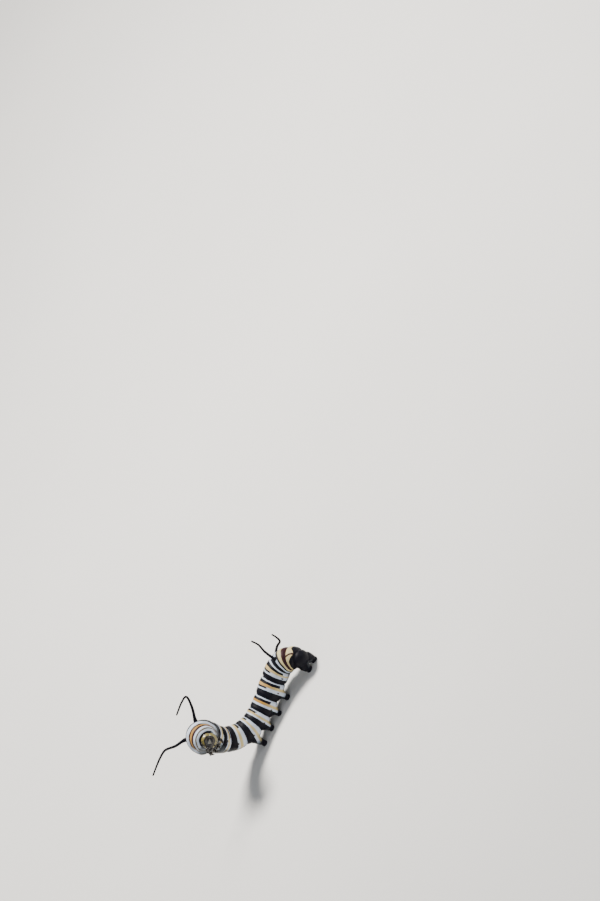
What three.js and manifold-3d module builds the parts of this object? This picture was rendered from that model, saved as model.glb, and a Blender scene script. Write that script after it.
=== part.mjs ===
// A fifth-stage larva of the monarch butterfly, life size, with its front third reared up and turned left.
// Millimetres, +Z up. The origin is on the floor, under the middle of the animal.
// The animal's own front points along -X at mid-body, and its left side faces -Y.

import * as THREE from "three";
import { mergeVertices } from "three/addons/utils/BufferGeometryUtils.js";
import Module from "manifold-3d";

const wasm = await Module();
wasm.setup();

// The body from its tail to its head. Each length runs along the axis of the body. Turn is the heading,
// positive towards the animal's left, pitch lifts the front, and roll leans the back to the left.
const BODY = [
  { name: "abdomen_10", length: 2.0, radius: 1.75, turn: -94, pitch: 42, roll: 0 },
  { name: "abdomen_9", length: 1.7, radius: 2.3, turn: -70, pitch: 24, roll: -6 },
  { name: "abdomen_8", length: 2.8, radius: 2.75, turn: -37, pitch: 10, roll: -24 },
  { name: "abdomen_7", length: 3.8, radius: 2.82, turn: -14, pitch: -11, roll: -10 },
  { name: "abdomen_6", length: 3.7, radius: 2.72, turn: -2, pitch: -7, roll: -2 },
  { name: "abdomen_5", length: 3.4, radius: 2.62, turn: -3, pitch: -4, roll: 0 },
  { name: "abdomen_4", length: 3.2, radius: 2.62, turn: 1, pitch: 7, roll: 0 },
  { name: "abdomen_3", length: 3.1, radius: 2.72, turn: 2, pitch: 31, roll: 0 },
  { name: "abdomen_2", length: 3.0, radius: 2.75, turn: 0, pitch: 49, roll: 0 },
  { name: "abdomen_1", length: 2.6, radius: 2.85, turn: 19, pitch: 69, roll: 0 },
  { name: "thorax_3", length: 2.8, radius: 3.3, turn: 58, pitch: 78, roll: 0 },
  { name: "thorax_2", length: 3.2, radius: 3.65, turn: 86, pitch: 37, roll: 0 },
  { name: "thorax_1", length: 1.8, radius: 2.7, turn: 90, pitch: -1, roll: 20 },
  { name: "head", length: 2.7, radius: 1.8, turn: 90, pitch: -18, roll: 50 },
];
const TAIL = new THREE.Vector3(15.88, -3.23, 1.95);

// The clear gap between neighbouring pieces, and the step for walking along the body.
const GAP = 0.3;
const PATH_STEP = 0.05;

// The trunk: sides of its rings, flatter belly, length of the round tail end, depth of the folds between
// segments and of the faint rings on them, and how far the head sits back in its collar.
const SIDES = 18;
const BELLY_FLATTENING = 0.92;
const TAIL_DOME = 1.7;
const TAIL_POINT = 0.12;
const FOLD_DEPTH = 0.11;
const RING_DEPTH = 0.02;
const NECK_OVERLAP = 0.45;

// Soft fleshy legs under abdomen_3 to abdomen_6, and the claspers at the tail. Side, splay and back place
// them, at is their share of the segment, and hip is their top, as a share of the trunk's radius.
const PROLEG = { side: 1.25, splay: 0.3, back: 0, sole: 0.6, ankle: 0.68, thigh: 1.15, at: 0.5 };
const CLASPER = { side: 0.85, splay: 0.25, back: 0.1, sole: 0.7, ankle: 0.82, thigh: 1.15, at: 0.62 };
const SOFT_LEG = { sides: 12, hip: 0.35, rim: 1.12 };

// Jointed legs under the thorax. The route gives their bends as shares of the length: down, ahead, out.
const TRUE_LEG = { length: 1.75, root: 0.46, tip: 0.26, side: 0.95, hip: 0.7, sides: 8, steps: 6 };
const TRUE_LEG_ROUTE = [
  [0.45, 0.05, 0.18],
  [0.85, 0.22, 0.14],
  [1.15, 0.5, -0.06],
];

// Filaments: radii, angle from the middle of the back, and the share of the segment, from its front fold,
// where they stand on its dark band. They start this deep in the body, as a share of its radius.
const FRONT_FILAMENT = { root: 0.36, tip: 0.25, spread: 37, at: 0.5, sides: 8, steps: 18 };
const REAR_FILAMENT = { root: 0.34, tip: 0.25, spread: 33, at: 0.2, sides: 8, steps: 12 };
const FILAMENT_SOCKET = 0.8;

// How the head is turned in its collar, in degrees: face lifted, swung right, crown leant left.
const HEAD_TURN = { lift: 30, swing: 24, lean: 26 };

// The head: half sizes, share of the width left at the jaws, the groove between the lobes, flat of the face.
const HEAD = { halfWidth: 1.78, halfHeight: 1.72, halfDepth: 1.38, jaw: 0.74 };
const HEAD_GROOVE = { depth: 0.07, width: 0.16 };
const FACE_FLATTENING = 0.12;

// What sits on the head: the direction to its place on the head, its shift from there, and its half sizes.
// X is to the animal's left, Y forward and Z towards the crown.
const LABRUM = { at: [0, 0.55, -0.84], shift: [0, 0.18, 0.18], half: [0.5, 0.32, 0.3] };
const MANDIBLE = { at: [0.3, 0.45, -0.84], shift: [0, 0.1, -0.32], half: [0.36, 0.42, 0.4] };
const ANTENNA = { at: [0.62, 0.52, -0.55], shift: [0.14, 0.32, -0.22], half: [0.26, 0.42, 0.26] };
const EYE_PATCH = { at: [0.86, 0.42, -0.22], shift: [0, 0, 0], half: [0.36, 0.5, 0.46] };

const COLOUR = {
  skin: 0xe4dfc4,
  thorax: 0xd9c98a,
  dark: 0x14131a,
  head: 0x1a1418,
  horn: 0x0d0c0f,
};

// Places along the body, in millimetres from the tail.
const ends = [0];
for (const part of BODY) ends.push(ends[ends.length - 1] + part.length);
const middles = BODY.map((part, i) => ends[i] + part.length / 2);
const BODY_LENGTH = ends[ends.length - 1];
const indexOf = (name) => BODY.findIndex((part) => part.name === name);

// A value that changes evenly from the middle of one segment to the middle of the next.
function along(s, key) {
  if (s <= middles[0]) return BODY[0][key];
  for (let i = 1; i < BODY.length; i++) {
    if (s <= middles[i]) {
      const share = (s - middles[i - 1]) / (middles[i] - middles[i - 1]);
      return THREE.MathUtils.lerp(BODY[i - 1][key], BODY[i][key], share);
    }
  }
  return BODY[BODY.length - 1][key];
}

// The three directions of the body at a place: forward, back side up, and the animal's left.
function directions(s) {
  const turn = THREE.MathUtils.degToRad(along(s, "turn"));
  const pitch = THREE.MathUtils.degToRad(along(s, "pitch"));
  const roll = THREE.MathUtils.degToRad(along(s, "roll"));
  const forward = new THREE.Vector3(
    -Math.cos(pitch) * Math.cos(turn),
    -Math.cos(pitch) * Math.sin(turn),
    Math.sin(pitch),
  );
  const level = new THREE.Vector3(
    Math.sin(pitch) * Math.cos(turn),
    Math.sin(pitch) * Math.sin(turn),
    Math.cos(pitch),
  );
  const up = level.applyAxisAngle(forward, -roll);
  const left = new THREE.Vector3().crossVectors(up, forward);
  return { forward, up, left };
}

// The axis of the body as points a short step apart, found by walking forward from the tail.
const path = [TAIL.clone()];
for (let s = 0; s < BODY_LENGTH; s += PATH_STEP) {
  const step = directions(s + PATH_STEP / 2).forward.multiplyScalar(PATH_STEP);
  path.push(path[path.length - 1].clone().add(step));
}

function axisPoint(s) {
  const place = THREE.MathUtils.clamp(s, 0, BODY_LENGTH) / PATH_STEP;
  const i = Math.min(Math.floor(place), path.length - 2);
  return path[i].clone().lerp(path[i + 1], place - i);
}

// A point of the body given by its place along the axis and its offsets towards the back and the left.
function bodyPoint(s, up, left) {
  const d = directions(s);
  return axisPoint(s).addScaledVector(d.up, up).addScaledVector(d.left, left);
}

// The smooth radius of the trunk, rounded off to nothing at the tail.
function trunkRadius(s) {
  const full = along(s, "radius");
  if (s >= TAIL_DOME) return full;
  return full * Math.sqrt(Math.max(0, 1 - (1 - s / TAIL_DOME) ** 2));
}

// Each segment swells between its folds and has three faint rings.
function segmentRadius(s, from, to) {
  const f = (s - from) / (to - from);
  const fold = 1 - FOLD_DEPTH * Math.abs(2 * f - 1) ** 6;
  const rings = 1 - RING_DEPTH * (0.5 + 0.5 * Math.cos(8 * Math.PI * f));
  return trunkRadius(s) * fold * rings;
}

// Carries a turned shape, whose axis is Y, onto the axis of the body.
function bendOntoBody(geometry) {
  const position = geometry.attributes.position;
  for (let i = 0; i < position.count; i++) {
    const [x, y, z] = [position.getX(i), position.getY(i), position.getZ(i)];
    const flat = x < 0 ? x * BELLY_FLATTENING : x;
    const p = bodyPoint(y, flat, z);
    position.setXYZ(i, p.x, p.y, p.z);
  }
  return geometry;
}

const SEGMENT_RINGS = [0, 0.06, 0.18, 0.34, 0.5, 0.66, 0.82, 0.94, 1];

// One segment of the trunk. Grow makes it fatter and longer, for cutting its neighbours clear of it.
function segmentGeometry(index, grow = 0) {
  const from = ends[index] + (index ? GAP / 2 : 0) - grow;
  const to = ends[index + 1] - GAP / 2 + grow;
  const profile = [new THREE.Vector2(0, from)];
  for (const f of SEGMENT_RINGS) {
    const s = THREE.MathUtils.lerp(from, to, f);
    const inside = THREE.MathUtils.clamp(s, ends[index], ends[index + 1]);
    const radius = segmentRadius(inside, ends[index], ends[index + 1]) + grow;
    profile.push(new THREE.Vector2(Math.max(radius, TAIL_POINT), s));
  }
  profile.push(new THREE.Vector2(0, to));
  return bendOntoBody(new THREE.LatheGeometry(profile, SIDES));
}

// Solids for joining and cutting.
function toSolid(geometry) {
  const bare = geometry.index ? geometry.toNonIndexed() : geometry.clone();
  bare.deleteAttribute("normal");
  bare.deleteAttribute("uv");
  const merged = mergeVertices(bare, 1e-4);
  return new wasm.Manifold(
    new wasm.Mesh({
      numProp: 3,
      vertProperties: new Float32Array(merged.attributes.position.array),
      triVerts: new Uint32Array(merged.index.array),
    }),
  );
}

function toGeometry(solid) {
  const pieces = solid.decompose();
  const largest = pieces.reduce((a, b) => (a.volume() > b.volume() ? a : b));
  const mesh = largest.getMesh();
  const geometry = new THREE.BufferGeometry();
  const corners = new Float32Array(mesh.numVert * 3);
  for (let i = 0; i < mesh.numVert; i++) {
    corners.set(mesh.vertProperties.subarray(i * mesh.numProp, i * mesh.numProp + 3), i * 3);
  }
  geometry.setAttribute("position", new THREE.BufferAttribute(corners, 3));
  geometry.setIndex(new THREE.BufferAttribute(new Uint32Array(mesh.triVerts), 1));
  geometry.computeVertexNormals();
  return geometry;
}

// Cuts a piece clear of the named segments, leaving the gap between them.
function clearOf(geometry, names) {
  let solid = toSolid(geometry);
  for (const name of names) solid = solid.subtract(toSolid(segmentGeometry(indexOf(name), GAP)));
  return toGeometry(solid);
}

const larva = new THREE.Group();

function addPart(name, geometry, colour, roughness = 0.5) {
  const material = new THREE.MeshStandardMaterial({ color: colour, roughness, metalness: 0 });
  const mesh = new THREE.Mesh(geometry, material);
  mesh.name = name;
  larva.add(mesh);
}

// A tube along a curve, thick at its root and thin at its round tip.
function taperedTube(curve, root, tip, sides, steps) {
  const profile = [new THREE.Vector2(0, 0)];
  for (let i = 0; i <= steps; i++) {
    const t = i / steps;
    const rounding = i === steps ? 0.55 : 1;
    profile.push(new THREE.Vector2(THREE.MathUtils.lerp(root, tip, t) * rounding, t));
  }
  profile.push(new THREE.Vector2(0, 1));
  const geometry = new THREE.LatheGeometry(profile, sides);
  const frames = curve.computeFrenetFrames(steps);
  const position = geometry.attributes.position;
  for (let i = 0; i < position.count; i++) {
    const step = Math.round(position.getY(i) * steps);
    const p = curve
      .getPointAt(step / steps)
      .addScaledVector(frames.binormals[step], position.getX(i))
      .addScaledVector(frames.normals[step], position.getZ(i));
    position.setXYZ(i, p.x, p.y, p.z);
  }
  return geometry;
}

// A soft leg: level rings from a flat sole on the floor up to a place inside the body.
function softLeg(sole, hip, shape) {
  const outline = [
    [0, shape.sole],
    [0.12, shape.sole * SOFT_LEG.rim],
    [0.3, shape.ankle],
    [0.55, (shape.ankle + shape.thigh) / 2],
    [0.8, shape.thigh],
    [1, shape.thigh],
  ];
  const profile = [new THREE.Vector2(0, 0)];
  for (const [height, radius] of outline) profile.push(new THREE.Vector2(radius, height));
  profile.push(new THREE.Vector2(0, 1));
  const geometry = new THREE.LatheGeometry(profile, SOFT_LEG.sides);
  const position = geometry.attributes.position;
  for (let i = 0; i < position.count; i++) {
    const height = position.getY(i);
    const centre = sole.clone().lerp(hip, height);
    position.setXYZ(i, centre.x + position.getX(i), centre.y - position.getZ(i), centre.z);
  }
  return geometry;
}

// A pair of soft legs under one segment.
function addSoftLegs(segment, shape, label) {
  const i = indexOf(segment);
  const s = THREE.MathUtils.lerp(ends[i], ends[i + 1], shape.at);
  const d = directions(s);
  const flatLeft = new THREE.Vector3(d.left.x, d.left.y, 0).normalize();
  const flatBack = new THREE.Vector3(-d.forward.x, -d.forward.y, 0).normalize();
  for (const [side, sign] of [["left", 1], ["right", -1]]) {
    const hip = bodyPoint(s, -SOFT_LEG.hip * along(s, "radius"), sign * shape.side);
    const sole = hip.clone().addScaledVector(flatLeft, sign * shape.splay);
    sole.addScaledVector(flatBack, shape.back);
    sole.z = 0;
    const neighbours = [i - 1, i, i + 1].filter((n) => n >= 0).map((n) => BODY[n].name);
    addPart(label + "_" + side, clearOf(softLeg(sole, hip, shape), neighbours), COLOUR.dark);
  }
}

// A pair of jointed legs under one segment of the thorax, curving forward and inward.
function addTrueLegs(segment, label) {
  const i = indexOf(segment);
  const s = middles[i];
  const d = directions(s);
  const hipDepth = TRUE_LEG.hip * BELLY_FLATTENING * along(s, "radius");
  const neighbours = [i - 1, i, i + 1].filter((n) => BODY[n].name !== "head").map((n) => BODY[n].name);
  for (const [side, sign] of [["left", 1], ["right", -1]]) {
    const hip = bodyPoint(s, -hipDepth, sign * TRUE_LEG.side);
    const points = [hip];
    for (const [down, ahead, out] of TRUE_LEG_ROUTE) {
      const point = hip.clone().addScaledVector(d.up, -down * TRUE_LEG.length);
      point.addScaledVector(d.forward, ahead * TRUE_LEG.length);
      point.addScaledVector(d.left, sign * out * TRUE_LEG.length);
      points.push(point);
    }
    const curve = new THREE.CatmullRomCurve3(points);
    const tube = taperedTube(curve, TRUE_LEG.root, TRUE_LEG.tip, TRUE_LEG.sides, TRUE_LEG.steps);
    addPart(label + "_" + side, clearOf(tube, neighbours), COLOUR.horn, 0.3);
  }
}

// A filament: a fleshy thread on the dark band of its segment, led through offsets along X, Y and Z from
// the skin.
function addFilament(name, segment, sign, shape, offsets) {
  const i = indexOf(segment);
  const s = THREE.MathUtils.lerp(ends[i + 1], ends[i], shape.at);
  const spread = THREE.MathUtils.degToRad(shape.spread);
  const place = (radius) => bodyPoint(s, radius * Math.cos(spread), sign * radius * Math.sin(spread));
  const skin = place(along(s, "radius"));
  const points = [place(along(s, "radius") * FILAMENT_SOCKET), skin];
  for (const offset of offsets) points.push(skin.clone().add(new THREE.Vector3(...offset)));
  const curve = new THREE.CatmullRomCurve3(points);
  const tube = taperedTube(curve, shape.root, shape.tip, shape.sides, shape.steps);
  addPart(name, clearOf(tube, [segment]), COLOUR.horn, 0.4);
}

// The trunk.
for (let i = 0; i < BODY.length - 1; i++) {
  const colour = BODY[i].name.startsWith("thorax") ? COLOUR.thorax : COLOUR.skin;
  addPart(BODY[i].name, segmentGeometry(i), colour);
}

for (const n of [3, 4, 5, 6]) addSoftLegs("abdomen_" + n, PROLEG, "proleg_" + n);
addSoftLegs("abdomen_10", CLASPER, "clasper");
for (const n of [1, 2, 3]) addTrueLegs("thorax_" + n, "leg_" + n);

// The head, in a frame of its own: X to the animal's left, Y forward, Z towards the crown.
const headPlace = middles[BODY.length - 1] - NECK_OVERLAP;
const headFrame = turnHead(directions(headPlace));
const headCentre = axisPoint(headPlace);

// Turns the neck's directions one after the other about its own left, up and forward.
function turnHead(neck) {
  const forward = neck.forward.clone();
  const up = neck.up.clone();
  const left = neck.left.clone();
  for (const [axis, degrees] of [[left, HEAD_TURN.lift], [up, HEAD_TURN.swing], [forward, HEAD_TURN.lean]]) {
    const about = axis.clone();
    const angle = -THREE.MathUtils.degToRad(degrees);
    for (const way of [forward, up, left]) way.applyAxisAngle(about, angle);
  }
  return { forward, up, left };
}

function fromHead(x, y, z) {
  return headCentre
    .clone()
    .addScaledVector(headFrame.left, x)
    .addScaledVector(headFrame.forward, y)
    .addScaledVector(headFrame.up, z);
}

// Carries a shape made round the head's centre to its place. Such a shape has X to the animal's right, so
// that its faces stay the right way round.
function placeOnHead(geometry) {
  const position = geometry.attributes.position;
  for (let i = 0; i < position.count; i++) {
    const p = fromHead(-position.getX(i), position.getY(i), position.getZ(i));
    position.setXYZ(i, p.x, p.y, p.z);
  }
  return geometry;
}

// Two round lobes that meet in a groove, narrower at the jaws, with a flatter face. Carries a point of the
// unit sphere to the head.
function headShape(x, y, z) {
  const low = THREE.MathUtils.clamp(-z, 0, 1);
  const width = THREE.MathUtils.lerp(1, HEAD.jaw, low * low);
  const inGroove = Math.exp(-((x / HEAD_GROOVE.width) ** 2)) * THREE.MathUtils.smoothstep(z, -0.1, 0.7);
  const groove = HEAD_GROOVE.depth * inGroove;
  const face = y > 0 ? 1 - FACE_FLATTENING * y : 1;
  return [
    x * width * HEAD.halfWidth,
    (y * face - groove * Math.max(y, 0)) * HEAD.halfDepth,
    (z - groove * Math.max(z, 0)) * HEAD.halfHeight,
  ];
}

// The whole head, swollen by an even margin.
function headBall(margin) {
  const ball = new THREE.SphereGeometry(1, 22, 16);
  ball.rotateX(Math.PI / 2);
  const position = ball.attributes.position;
  for (let i = 0; i < position.count; i++) {
    const p = new THREE.Vector3(...headShape(position.getX(i), position.getY(i), position.getZ(i)));
    p.setLength(p.length() + margin);
    position.setXYZ(i, p.x, p.y, p.z);
  }
  return placeOnHead(ball);
}

addPart("head_capsule", clearOf(headBall(0), ["thorax_1"]), COLOUR.head, 0.25);

// A small rounded knob on the head, on the left, right or middle, cut clear of the head.
const headCutter = toSolid(headBall(GAP / 2));

function addHeadKnob(name, knob, sign) {
  const [x, y, z] = headShape(...new THREE.Vector3(...knob.at).normalize());
  const ball = new THREE.SphereGeometry(1, 8, 6);
  ball.rotateX(Math.PI / 2);
  ball.scale(...knob.half);
  ball.translate(-sign * (x + knob.shift[0]), y + knob.shift[1], z + knob.shift[2]);
  const solid = toSolid(placeOnHead(ball)).subtract(headCutter);
  addPart(name, toGeometry(solid), COLOUR.horn, 0.25);
}

addHeadKnob("labrum", LABRUM, 1);
for (const [side, sign] of [["left", 1], ["right", -1]]) {
  addHeadKnob("mandible_" + side, MANDIBLE, sign);
  addHeadKnob("antenna_" + side, ANTENNA, sign);
  addHeadKnob("eye_" + side, EYE_PATCH, sign);
}

// The filaments. Offsets run from the skin along X, Y and Z.
addFilament("filament_front_left", "thorax_2", 1, FRONT_FILAMENT, [
  [2, -0.4, 2.1],
  [3.4, -0.7, 4.2],
  [3.3, -1.1, 4.95],
  [2, -1.55, 5.35],
  [-0.8, -2.05, 5.35],
]);
addFilament("filament_front_right", "thorax_2", -1, FRONT_FILAMENT, [
  [-1.9, -0.45, 1.55],
  [-3.6, -0.75, 3.4],
  [-5.25, -1.35, 3.95],
  [-7, -1.7, 4.05],
  [-9.25, -2.05, 4],
]);
addFilament("filament_rear_left", "abdomen_8", 1, REAR_FILAMENT, [
  [0.45, 0.7, 2.35],
  [1.1, 1.2, 3.95],
  [1.15, 1.8, 5.55],
]);
addFilament("filament_rear_right", "abdomen_8", -1, REAR_FILAMENT, [
  [1.2, 0.35, 0.2],
  [2.3, -0.1, 0.4],
  [2.7, 0.0, 1.5],
  [2.8, 0.2, 2.65],
]);

export default larva;
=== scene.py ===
# %% [markdown]
# # A monarch larva, ring by ring
#
# This notebook models a full-grown larva of the monarch butterfly at life size. The animal is a soft tube
# of thirteen segments with a hard head in front. The construction solids are loaded first and kept as a
# fixed frame, so every piece made here goes where the frame says. All shapes are worked out in
# millimetres, which suit an animal 40 mm long, and are turned into metres when a piece is finished.

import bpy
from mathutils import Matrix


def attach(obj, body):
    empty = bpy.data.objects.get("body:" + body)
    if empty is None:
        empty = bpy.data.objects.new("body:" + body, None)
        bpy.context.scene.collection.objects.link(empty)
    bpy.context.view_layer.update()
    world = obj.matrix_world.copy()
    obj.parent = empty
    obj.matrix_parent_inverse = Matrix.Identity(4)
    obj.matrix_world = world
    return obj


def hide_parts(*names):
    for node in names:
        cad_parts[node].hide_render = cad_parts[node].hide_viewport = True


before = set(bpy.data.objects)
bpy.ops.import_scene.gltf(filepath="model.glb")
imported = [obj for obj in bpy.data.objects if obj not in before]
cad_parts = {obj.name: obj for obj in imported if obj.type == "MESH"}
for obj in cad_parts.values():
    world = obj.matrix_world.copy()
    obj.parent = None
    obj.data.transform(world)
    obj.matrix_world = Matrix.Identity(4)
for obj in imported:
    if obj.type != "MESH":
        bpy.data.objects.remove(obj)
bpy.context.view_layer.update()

# %% Libraries and units
import math
import random

import bmesh
import bpy
from mathutils import Matrix, Vector, noise
from mathutils.bvhtree import BVHTree
from mathutils.geometry import interpolate_bezier
from mathutils.kdtree import KDTree

MM = 0.001
random.seed(7)


def new_object(name, data):
    thing = bpy.data.objects.new(name, data)
    bpy.context.scene.collection.objects.link(thing)
    return thing


def mesh_from(name, bm):
    """A new mesh from a bmesh, which is freed."""
    mesh = bpy.data.meshes.new(name)
    bm.to_mesh(mesh)
    bm.free()
    return mesh


print("one millimetre is", MM, "Blender units")

# %% [markdown]
# ## The plan of the body
#
# A larva bends everywhere, so its body isn't placed by hinges but by a curved axis. Each segment has a
# length along the axis, a radius, and a direction: turn is the heading, pitch lifts the front, and roll
# leans the back to the left. Values change evenly from the middle of one segment to the middle of the
# next. The axis could be a Blender curve, but a formula gives the exact place, direction and radius for
# any point of the skin, and the markings need those too.

# %% Segments from the tail to the head
SEGMENTS = [
    # name, length, radius, turn, pitch, roll
    ("abdomen_10", 2.0, 1.75, -94, 42, 0),
    ("abdomen_9", 1.7, 2.3, -70, 24, -6),
    ("abdomen_8", 2.8, 2.75, -37, 10, -24),
    ("abdomen_7", 3.8, 2.82, -14, -11, -10),
    ("abdomen_6", 3.7, 2.72, -2, -7, -2),
    ("abdomen_5", 3.4, 2.62, -3, -4, 0),
    ("abdomen_4", 3.2, 2.62, 1, 7, 0),
    ("abdomen_3", 3.1, 2.72, 2, 31, 0),
    ("abdomen_2", 3.0, 2.75, 0, 49, 0),
    ("abdomen_1", 2.6, 2.85, 19, 69, 0),
    ("thorax_3", 2.8, 3.3, 58, 78, 0),
    ("thorax_2", 3.2, 3.65, 86, 37, 0),
    ("thorax_1", 1.8, 2.7, 90, -1, 20),
    ("head", 2.7, 1.8, 90, -18, 50),
]
TAIL = Vector((15.88, -3.23, 1.95))
NAMES = [segment[0] for segment in SEGMENTS]
LENGTHS = [segment[1] for segment in SEGMENTS]
RADIUS, TURN, PITCH, ROLL = 2, 3, 4, 5

ends = [0.0]
for length in LENGTHS:
    ends.append(ends[-1] + length)
middles = [(a + b) / 2 for a, b in zip(ends, ends[1:])]
print("body length along the axis:", round(ends[-1], 1), "mm")


# %% Values, directions and places along the axis
def along(s, key):
    """A segment value at s millimetres from the tail."""
    if s <= middles[0]:
        return SEGMENTS[0][key]
    for i in range(1, len(SEGMENTS)):
        if s <= middles[i]:
            share = (s - middles[i - 1]) / (middles[i] - middles[i - 1])
            return SEGMENTS[i - 1][key] + share * (SEGMENTS[i][key] - SEGMENTS[i - 1][key])
    return SEGMENTS[-1][key]


def directions(s):
    """Forward, up through the back, and left, at one place of the body."""
    turn, pitch, roll = (math.radians(along(s, key)) for key in (TURN, PITCH, ROLL))
    flat = Vector((math.cos(turn), math.sin(turn), 0))
    forward = -math.cos(pitch) * flat + Vector((0, 0, math.sin(pitch)))
    level = math.sin(pitch) * flat + Vector((0, 0, math.cos(pitch)))
    up = Matrix.Rotation(-roll, 3, forward) @ level
    return forward, up, up.cross(forward)


STEP = 0.01
WALK = 5
axis = []
frames = []
here = TAIL.copy()
for n in range(round(ends[-1] / STEP) + 1):
    if n % WALK == 0:
        stride = directions((n + WALK / 2) * STEP)[0] * STEP
    axis.append(here.copy())
    frames.append(directions(n * STEP))
    here += stride
print("the head ends at", [round(c, 2) for c in axis[-1]], "mm")


# %% Places beside the axis
def axis_point(s):
    place = min(max(s / STEP, 0), len(axis) - 1.001)
    return axis[int(place)].lerp(axis[int(place) + 1], place % 1)


def frame_at(s):
    return frames[min(max(round(s / STEP), 0), len(frames) - 1)]


def body_point(s, up, left):
    _, up_way, left_way = frame_at(s)
    return axis_point(s) + up_way * up + left_way * left


print("the middle of the body is at", [round(c, 1) for c in body_point(ends[-1] / 2, 0, 0)])

# %% [markdown]
# ## Camera, floor and light
#
# The photograph looks down on the animal with a long lens, and the animal lies in the lower left of the
# frame. The camera is found backwards: the view direction over the floor is known, one point of the body
# has a known pixel, and the scale is five pixels to the millimetre. A minimal rotation swings the view
# axis off that point, so no lens shift is needed. It is made first, because every later piece is judged
# through it.

# %% The camera
ELEVATION = 28
IMAGE_TURN = 64
PIXELS = (600, 901)
PIXELS_PER_MM = 5.0
LENS = 200
SENSOR = 36
CLIP = (0.01, 20)
ORIGIN_PIXEL = Vector((273.66, 734.29))
ANCHOR = Vector((-1.0, 1.0, 8.0))


def make_camera():
    rise, turn = math.radians(ELEVATION), math.radians(IMAGE_TURN)
    to_viewer = Vector((0, -math.cos(rise), math.sin(rise)))
    lift = Vector((0, math.sin(rise), math.cos(rise)))
    side = Vector((1, 0, 0))
    right = math.cos(turn) * side - math.sin(turn) * lift
    upward = math.sin(turn) * side + math.cos(turn) * lift
    pixel = ORIGIN_PIXEL + PIXELS_PER_MM * Vector((ANCHOR @ right, -(ANCHOR @ upward)))
    spread = SENSOR / LENS / PIXELS[1]
    ray = Vector(((pixel.x - PIXELS[0] / 2) * spread, (PIXELS[1] / 2 - pixel.y) * spread, -1)).normalized()
    swing = Vector((0, 0, -1)).rotation_difference(ray).to_matrix()
    turned = Matrix((right, upward, to_viewer)).transposed() @ swing.inverted()
    distance = LENS / SENSOR * PIXELS[1] / PIXELS_PER_MM / (-ray.z) ** 1.5
    lens = bpy.data.cameras.new("camera")
    lens.lens = LENS
    lens.sensor_width = SENSOR
    lens.clip_start, lens.clip_end = CLIP
    camera = new_object("camera", lens)
    camera.matrix_world = Matrix.Translation((ANCHOR + to_viewer * distance) * MM) @ turned.to_4x4()
    bpy.context.scene.camera = camera
    return pixel, distance


anchor_pixel, camera_distance = make_camera()
print("anchor at pixel", [round(c, 1) for c in anchor_pixel], "camera", round(camera_distance), "mm away")

# %% [markdown]
# ## Shader helpers
#
# Every finish is a small tree of nodes. They could be laid out by hand in the shader editor. Here a node's
# output is a field that plain signs work on, so that a formula reads like one, and a few helpers add
# ramps, mixes and noise. Values that are the same all over a piece are set on the shader's own sockets.

# %% Fields and nodes
class Field:
    """A node's output. Each sign used on it adds a math node."""

    def __init__(self, tree, socket):
        self.tree, self.socket = tree, socket

    def math(self, operation, other=0.0, clamp=False):
        return add_node(self.tree, "ShaderNodeMath", 0, {0: self, 1: other}, operation=operation,
                        use_clamp=clamp)

    def __add__(self, other):
        return self.math("ADD", other)

    def __sub__(self, other):
        return self.math("SUBTRACT", other)

    def __mul__(self, other):
        return self.math("MULTIPLY", other)

    def __truediv__(self, other):
        return self.math("DIVIDE", other)


def add_node(tree, kind, output, sockets=None, **settings):
    """Add a node and give one output. Sockets maps an input's name or number to a value or a field."""
    node = tree.nodes.new(kind)
    for name, value in settings.items():
        setattr(node, name, value)
    for name, value in (sockets or {}).items():
        if isinstance(value, Field):
            tree.links.new(value.socket, node.inputs[name])
        else:
            node.inputs[name].default_value = value
    return Field(tree, node.outputs[output])


def attribute(tree, name):
    return add_node(tree, "ShaderNodeAttribute", "Fac", attribute_name=name)


def grain(tree, scale, detail=2.0, roughness=0.5):
    """Noise fixed to the animal. The scale is in spots per metre."""
    sockets = {"Vector": add_node(tree, "ShaderNodeTexCoord", "Object"), "Scale": scale, "Detail": detail,
               "Roughness": roughness}
    return add_node(tree, "ShaderNodeTexNoise", 0, sockets)


def wander(tree, scale, reach, detail=2.0):
    """Noise to both sides of zero."""
    return (grain(tree, scale, detail) - 0.5) * reach


print("fields ready")

# %% Ramps, mixes and materials
def ramp(value, stops):
    """A colour ramp from (position, colour) stops. A plain number as colour makes a grey."""
    field = add_node(value.tree, "ShaderNodeValToRGB", 0, {0: value})
    elements = field.socket.node.color_ramp.elements
    while len(elements) < len(stops):
        elements.new(0.5)
    for element, (position, _) in zip(elements, stops):
        element.position = position
    for element, (position, colour) in zip(elements, stops):
        element.position = position
        element.color = (*(colour if isinstance(colour, tuple) else (colour,) * 3), 1)
    return field


def mix_colour(share, a, b):
    """Colour a where the share is 0 and colour b where it is 1."""
    sockets = {0: share}
    for number, colour in ((6, a), (7, b)):
        sockets[number] = (*colour, 1) if isinstance(colour, tuple) else colour
    return add_node(share.tree, "ShaderNodeMix", 2, sockets, data_type="RGBA", clamp_factor=True)


def shaded(colour, shade):
    """One colour multiplied by another."""
    return add_node(colour.tree, "ShaderNodeMix", 2, {0: 1.0, 6: colour, 7: shade}, data_type="RGBA",
                    blend_type="MULTIPLY")


def channels(colour):
    """The red, green and blue of a colour."""
    red = add_node(colour.tree, "ShaderNodeSeparateColor", 0, {0: colour})
    return [Field(colour.tree, socket) for socket in red.socket.node.outputs]


def bump(height, depth_mm):
    sockets = {"Height": height, "Distance": depth_mm * MM, "Strength": 1.0}
    return add_node(height.tree, "ShaderNodeBump", 0, sockets)


def shader_input(tree, name):
    return tree.nodes["Principled BSDF"].inputs[name.replace("_", " ")]


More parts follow.
